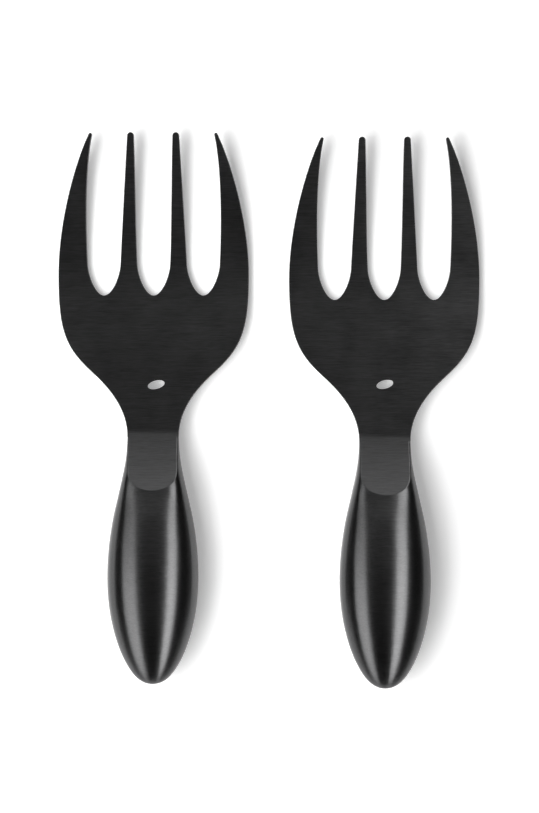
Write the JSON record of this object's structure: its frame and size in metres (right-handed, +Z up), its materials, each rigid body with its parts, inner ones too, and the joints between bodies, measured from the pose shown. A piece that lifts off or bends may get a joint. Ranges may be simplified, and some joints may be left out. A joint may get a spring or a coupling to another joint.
{
  "type": "salad hands",
  "caption": "Hand-shaped salad servers: flat black steel fork blades with curved claw-like tines on rounded hollow handles, used as a pair to lift and toss leaves.",
  "frame": {"origin": "on the table, at the middle of the pair's bounding box seen from above", "axes": "+Y towards the tine tips, along both hands; +X to the right from the left hand to the right one; +Z up, out of the blades' upper faces"},
  "size_m": [0.1616, 0.212, 0.0191],
  "materials": {
    "blade_steel": "black coated stainless, brushed across the blade, satin",
    "handle_steel": "black coated stainless, fine brushed, semi-gloss"
  },
  "bodies": {
    "left_hand": {"left_blade": "blade_steel", "left_upper_shell": "handle_steel", "left_lower_shell": "handle_steel", "left_seam_weld": "handle_steel", "left_tongue_weld": "blade_steel", "left_chin_weld": "handle_steel"},
    "right_hand": {"right_blade": "blade_steel", "right_upper_shell": "handle_steel", "right_lower_shell": "handle_steel", "right_seam_weld": "handle_steel", "right_tongue_weld": "blade_steel", "right_chin_weld": "handle_steel"}
  },
  "joints": [
    {"name": "right_hand_lift", "type": "slide", "parent": "left_hand", "child": "right_hand", "axis": [0, 0, 1], "range_m": [0, 0.12]}
  ]
}
